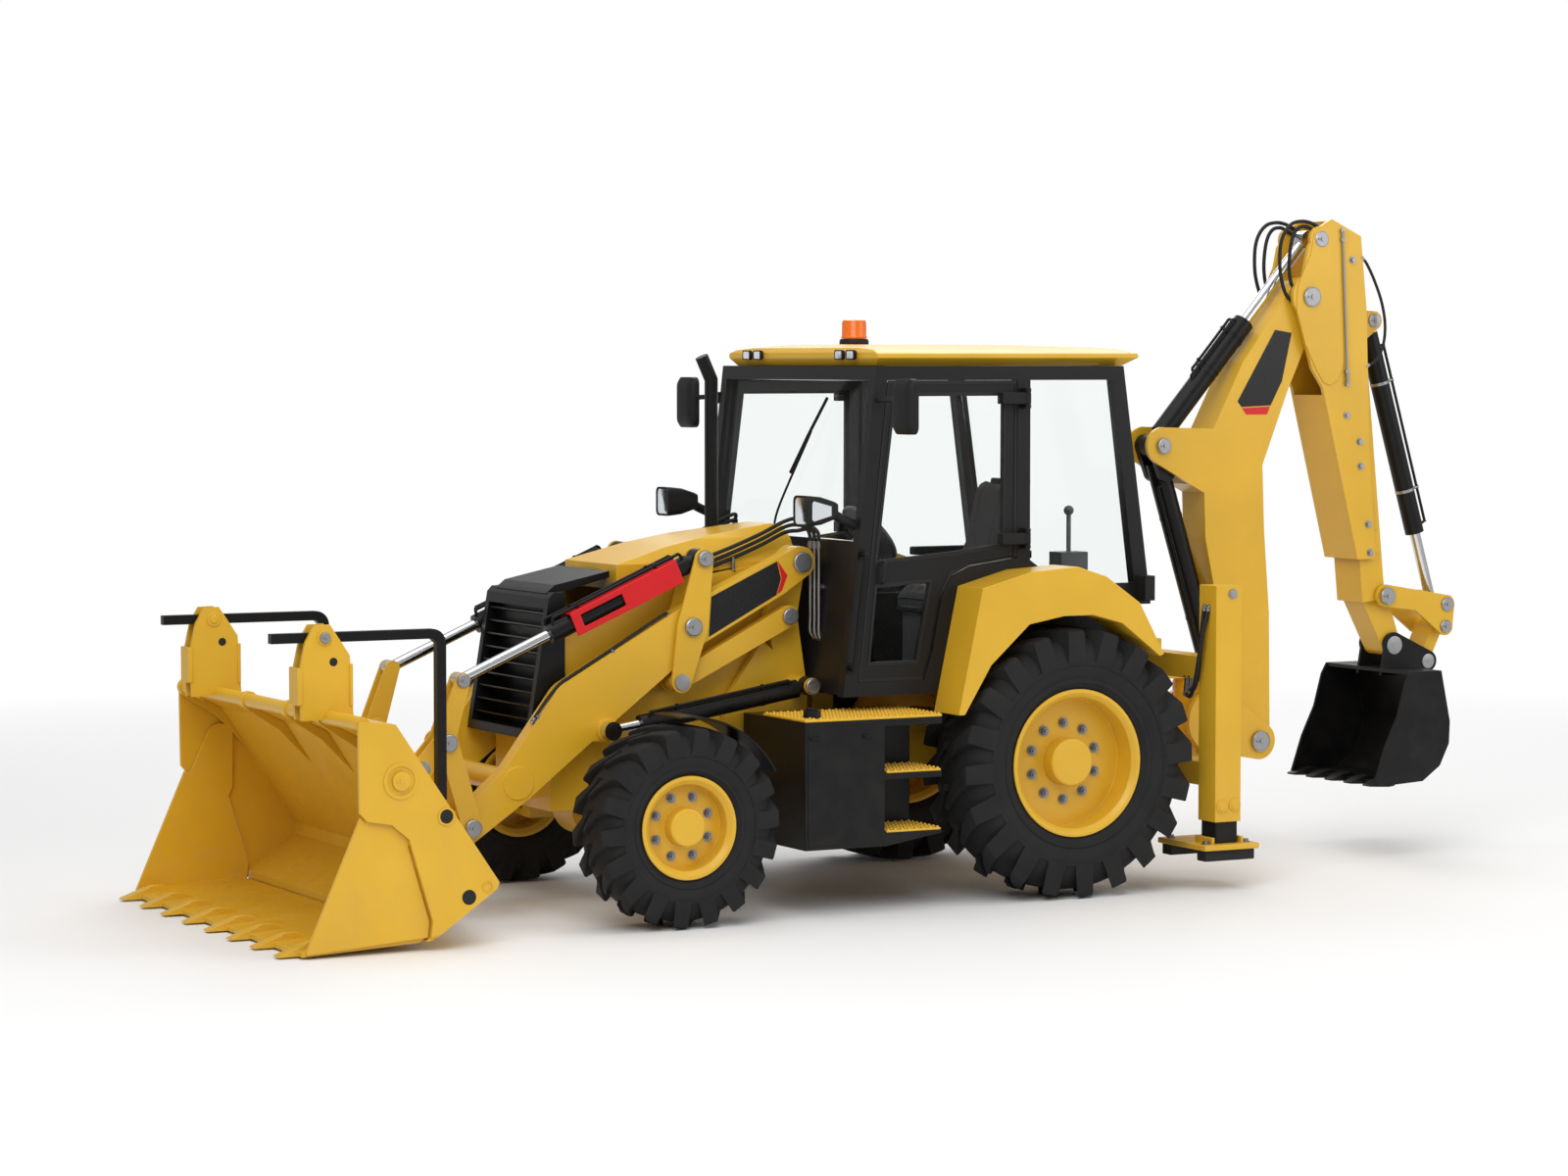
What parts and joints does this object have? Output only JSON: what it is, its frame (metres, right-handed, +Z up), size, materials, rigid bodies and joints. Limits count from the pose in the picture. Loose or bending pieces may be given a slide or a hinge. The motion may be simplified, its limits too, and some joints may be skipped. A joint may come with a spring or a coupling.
{
  "type": "backhoe loader",
  "caption": "Backhoe loader with a cab, parallel-lift loader arms, clamshell front bucket with folding forks, and a rear boom with a telescoping stick.",
  "frame": {"origin": "on the ground under the middle of the overall length and width", "axes": "+X forward toward the loader bucket, +Y to the operator's left, +Z up"},
  "size_m": [7.2759, 2.54, 3.45],
  "materials": {
    "yellow_paint": "gloss",
    "black_paint": "satin",
    "chromed_rod": "polished",
    "tyre_rubber": "matte",
    "window_glass": "gloss",
    "grey_plastic": "matte",
    "seat_cloth": "woven",
    "engine_iron": "matte",
    "red_paint": "gloss",
    "step_paint": "satin"
  },
  "bodies": {
    "chassis": {"main_frame": "yellow_paint", "rear_frame": "yellow_paint", "engine_block": "engine_iron", "axles": "yellow_paint", "radiator_cowl": "black_paint", "cab_frame": "black_paint", "cab_roof": "yellow_paint", "cab_glass": "window_glass", "cab_interior": "grey_plastic", "seat": "seat_cloth", "fenders": "yellow_paint", "side_boxes": "black_paint", "step_treads": "step_paint", "exhaust_stack": "black_paint", "lamps_and_mirrors": "black_paint"},
    "hood": {"hood": "yellow_paint"},
    "door_left": {"door_left": "black_paint"},
    "door_right": {"door_right": "black_paint"},
    "knuckle_left": {"knuckle_left": "black_paint"},
    "front_wheel_left": {"rim_front_left": "yellow_paint", "tyre_front_left": "tyre_rubber"},
    "rear_wheel_left": {"rim_rear_left": "yellow_paint", "tyre_rear_left": "tyre_rubber"},
    "knuckle_right": {"knuckle_right": "black_paint"},
    "front_wheel_right": {"rim_front_right": "yellow_paint", "tyre_front_right": "tyre_rubber"},
    "rear_wheel_right": {"rim_rear_right": "yellow_paint", "tyre_rear_right": "tyre_rubber"},
    "loader_arms": {"loader_arms": "yellow_paint"},
    "level_links": {"level_links": "yellow_paint"},
    "rear_levers": {"rear_levers": "yellow_paint"},
    "tilt_barrels": {"tilt_barrels": "black_paint", "service_brace": "red_paint"},
    "tilt_rods": {"tilt_rods": "chromed_rod"},
    "idler_links": {"idler_links": "yellow_paint"},
    "front_levers": {"front_levers": "yellow_paint"},
    "lift_barrels": {"lift_barrels": "black_paint"},
    "lift_rods": {"lift_rods": "chromed_rod"},
    "hinge_pins": {"hinge_pins": "chromed_rod"},
    "idler_pins": {"idler_pins": "chromed_rod"},
    "lever_pins": {"lever_pins": "chromed_rod"},
    "loader_bucket": {"loader_bucket": "yellow_paint"},
    "bucket_clam": {"bucket_clam": "yellow_paint"},
    "forks": {"forks": "black_paint"},
    "shift_carriage": {"shift_carriage": "yellow_paint"},
    "swing_post": {"swing_post": "yellow_paint"},
    "boom": {"boom": "yellow_paint"},
    "boom_barrel": {"boom_barrel": "black_paint"},
    "boom_rod": {"boom_rod": "chromed_rod"},
    "stick_barrel": {"stick_barrel": "black_paint"},
    "stick_rod": {"stick_rod": "chromed_rod"},
    "stick": {"stick": "yellow_paint"},
    "sliding_stick": {"sliding_stick": "yellow_paint"},
    "hoe_barrel": {"hoe_barrel": "black_paint"},
    "hoe_rod": {"hoe_rod": "chromed_rod"},
    "hoe_lever": {"hoe_lever": "yellow_paint"},
    "hoe_link": {"hoe_link": "yellow_paint"},
    "hoe_bucket": {"hoe_bucket": "black_paint"},
    "stabiliser_left": {"stabiliser_left": "black_paint"},
    "stabiliser_right": {"stabiliser_right": "black_paint"}
  },
  "joints": [
    {"name": "rear_axle_left", "type": "hinge", "parent": "chassis", "child": "rear_wheel_left", "pos_m": [-0.624, 0.861, 0.68], "axis": [0, 1, 0], "continuous": true},
    {"name": "steer_left", "type": "hinge", "parent": "chassis", "child": "knuckle_left", "pos_m": [1.576, 0.77, 0.482], "axis": [0, 0, 1], "range_deg": [-40, 40]},
    {"name": "front_axle_left", "type": "hinge", "parent": "knuckle_left", "child": "front_wheel_left", "pos_m": [1.576, 0.975, 0.482], "axis": [0, 1, 0], "continuous": true},
    {"name": "rear_axle_right", "type": "hinge", "parent": "chassis", "child": "rear_wheel_right", "pos_m": [-0.624, -0.861, 0.68], "axis": [0, 1, 0], "continuous": true},
    {"name": "steer_right", "type": "hinge", "parent": "chassis", "child": "knuckle_right", "pos_m": [1.576, -0.77, 0.482], "axis": [0, 0, 1], "range_deg": [-40, 40]},
    {"name": "front_axle_right", "type": "hinge", "parent": "knuckle_right", "child": "front_wheel_right", "pos_m": [1.576, -0.975, 0.482], "axis": [0, 1, 0], "continuous": true},
    {"name": "door_left_hinge", "type": "hinge", "parent": "chassis", "child": "door_left", "pos_m": [-0.434, 0.872, 2.15], "axis": [0, 0, 1], "range_deg": [0, 85]},
    {"name": "door_right_hinge", "type": "hinge", "parent": "chassis", "child": "door_right", "pos_m": [-0.434, -0.872, 2.15], "axis": [0, 0, -1], "range_deg": [0, 85]},
    {"name": "hood_hinge", "type": "hinge", "parent": "chassis", "child": "hood", "pos_m": [1.582, 0, 1.64], "axis": [0, 1, 0], "range_deg": [0, 50]},
    {"name": "loader_lift", "type": "hinge", "parent": "chassis", "child": "loader_arms", "pos_m": [0.641, 0, 1.69], "axis": [0, -1, 0], "range_deg": [-4, 80]},
    {"name": "rear_lever_swing", "type": "hinge", "parent": "loader_arms", "child": "rear_levers", "pos_m": [1.251, 0, 1.388], "axis": [0, -1, 0], "range_deg": [-82, 6]},
    {"name": "level_link_swing", "type": "hinge", "parent": "chassis", "child": "level_links", "pos_m": [0.701, 0, 1.422], "axis": [0, -1, 0], "range_deg": [-6, 82]},
    {"name": "tilt_barrel_swing", "type": "hinge", "parent": "rear_levers", "child": "tilt_barrels", "pos_m": [1.187, 0, 1.719], "axis": [0, -1, 0], "range_deg": [-5.45, 71.04]},
    {"name": "hinge_pin_turn", "type": "hinge", "parent": "loader_arms", "child": "hinge_pins", "pos_m": [2.546, 0, 0.345], "axis": [0, -1, 0], "range_deg": [-82, 6]},
    {"name": "idler_pin_turn", "type": "hinge", "parent": "loader_arms", "child": "idler_pins", "pos_m": [2.434, 0, 0.467], "axis": [0, -1, 0], "range_deg": [-82, 6]},
    {"name": "bucket_tilt", "type": "hinge", "parent": "hinge_pins", "child": "loader_bucket", "pos_m": [2.546, 0, 0.345], "axis": [0, 1, 0], "range_deg": [-40, 43]},
    {"name": "idler_swing", "type": "hinge", "parent": "idler_pins", "child": "idler_links", "pos_m": [2.434, 0, 0.467], "axis": [0, 1, 0], "range_deg": [-42, 45]},
    {"name": "lever_pin_turn", "type": "hinge", "parent": "idler_links", "child": "lever_pins", "pos_m": [2.555, 0, 0.879], "axis": [0, -1, 0], "range_deg": [-6, 82]},
    {"name": "front_lever_swing", "type": "hinge", "parent": "lever_pins", "child": "front_levers", "pos_m": [2.555, 0, 0.879], "axis": [0, 1, 0], "range_deg": [-45, 42]},
    {"name": "tilt_rod_slide", "type": "slide", "parent": "tilt_barrels", "child": "tilt_rods", "axis": [0.9176, 0, -0.3975], "range_m": [-0.2788, 0.2989]},
    {"name": "lift_barrel_swing", "type": "hinge", "parent": "chassis", "child": "lift_barrels", "pos_m": [0.63, 0, 1.079], "axis": [0, -1, 0], "range_deg": [-5.4, 70]},
    {"name": "lift_rod_slide", "type": "slide", "parent": "lift_barrels", "child": "lift_rods", "axis": [0.9868, 0, -0.1617], "range_m": [-0.0463, 0.7361]},
    {"name": "clam_open", "type": "hinge", "parent": "loader_bucket", "child": "bucket_clam", "pos_m": [3.082, 0, 0.789], "axis": [0, -1, 0], "range_deg": [0, 75]},
    {"name": "fork_fold", "type": "hinge", "parent": "loader_bucket", "child": "forks", "pos_m": [3.281, 0, 1.418], "axis": [0, 1, 0], "range_deg": [0, 180]},
    {"name": "side_shift", "type": "slide", "parent": "chassis", "child": "shift_carriage", "axis": [0, 1, 0], "range_m": [-0.55, 0.55]},
    {"name": "swing", "type": "hinge", "parent": "shift_carriage", "child": "swing_post", "pos_m": [-1.994, 0, 0.78], "axis": [0, 0, 1], "range_deg": [-90, 90]},
    {"name": "boom_lower", "type": "hinge", "parent": "swing_post", "child": "boom", "pos_m": [-2.339, 0, 0.64], "axis": [0, -1, 0], "range_deg": [0, 105]},
    {"name": "boom_barrel_swing", "type": "hinge", "parent": "boom", "child": "boom_barrel", "pos_m": [-1.738, 0, 2.234], "axis": [0, -1, 0], "range_deg": [-2, 7.25]},
    {"name": "boom_rod_slide", "type": "slide", "parent": "boom_barrel", "child": "boom_rod", "axis": [-0.3021, 0, -0.9533], "range_m": [-0.01, 0.4828]},
    {"name": "stick_out", "type": "hinge", "parent": "boom", "child": "stick", "pos_m": [-2.653, 0, 3.03], "axis": [0, 1, 0], "range_deg": [0, 115]},
    {"name": "stick_barrel_swing", "type": "hinge", "parent": "boom", "child": "stick_barrel", "pos_m": [-1.738, 0, 2.234], "axis": [0, 1, 0], "range_deg": [-2, 7.17]},
    {"name": "stick_rod_slide", "type": "slide", "parent": "stick_barrel", "child": "stick_rod", "axis": [-0.6621, 0, 0.7494], "range_m": [-0.5359, 0.01]},
    {"name": "stick_extend", "type": "slide", "parent": "stick", "child": "sliding_stick", "axis": [-0.1, 0, -0.995], "range_m": [0, 1]},
    {"name": "hoe_curl", "type": "hinge", "parent": "sliding_stick", "child": "hoe_bucket", "pos_m": [-3.252, 0, 1.125], "axis": [0, -1, 0], "range_deg": [-35, 90]},
    {"name": "hoe_lever_swing", "type": "hinge", "parent": "sliding_stick", "child": "hoe_lever", "pos_m": [-3.172, 0, 1.4], "axis": [0, -1, 0], "range_deg": [-19.15, 46.1]},
    {"name": "hoe_link_swing", "type": "hinge", "parent": "hoe_bucket", "child": "hoe_link", "pos_m": [-3.482, 0, 1.03], "axis": [0, -1, 0], "range_deg": [-69.5, 28.25]},
    {"name": "hoe_barrel_swing", "type": "hinge", "parent": "sliding_stick", "child": "hoe_barrel", "pos_m": [-3.121, 0, 2.905], "axis": [0, -1, 0], "range_deg": [-4.28, 7.85]},
    {"name": "hoe_rod_slide", "type": "slide", "parent": "hoe_barrel", "child": "hoe_rod", "axis": [-0.2852, 0, -0.9585], "range_m": [-0.1047, 0.2535]},
    {"name": "stabiliser_left_drop", "type": "slide", "parent": "chassis", "child": "stabiliser_left", "axis": [0, 0, -1], "range_m": [0, 0.55]},
    {"name": "stabiliser_right_drop", "type": "slide", "parent": "chassis", "child": "stabiliser_right", "axis": [0, 0, -1], "range_m": [0, 0.55]}
  ],
  "couplings": [
    {"joint": "steer_right", "follows": "steer_left", "ratio": 1},
    {"joint": "rear_lever_swing", "follows": "loader_lift", "ratio": -1},
    {"joint": "level_link_swing", "follows": "loader_lift", "ratio": 1},
    {"joint": "tilt_barrel_swing", "follows": "loader_lift", "ratio": 0.863},
    {"joint": "hinge_pin_turn", "follows": "loader_lift", "ratio": -1},
    {"joint": "idler_pin_turn", "follows": "loader_lift", "ratio": -1},
    {"joint": "idler_swing", "follows": "bucket_tilt", "ratio": 1},
    {"joint": "lever_pin_turn", "follows": "loader_lift", "ratio": 1},
    {"joint": "front_lever_swing", "follows": "bucket_tilt", "ratio": -1},
    {"joint": "tilt_rod_slide", "follows": "bucket_tilt", "m_per_rad": 0.385},
    {"joint": "lift_barrel_swing", "follows": "loader_lift", "ratio": 0.85},
    {"joint": "lift_rod_slide", "follows": "loader_lift", "m_per_rad": 0.52},
    {"joint": "boom_barrel_swing", "follows": "boom_lower", "ratio": 0.05},
    {"joint": "boom_rod_slide", "follows": "boom_lower", "m_per_rad": 0.258},
    {"joint": "stick_barrel_swing", "follows": "stick_out", "ratio": 0.045},
    {"joint": "stick_rod_slide", "follows": "stick_out", "m_per_rad": -0.262},
    {"joint": "hoe_lever_swing", "follows": "hoe_curl", "ratio": 0.49},
    {"joint": "hoe_link_swing", "follows": "hoe_curl", "ratio": -0.75},
    {"joint": "hoe_barrel_swing", "follows": "hoe_curl", "ratio": 0.065},
    {"joint": "hoe_rod_slide", "follows": "hoe_curl", "m_per_rad": 0.155}
  ]
}
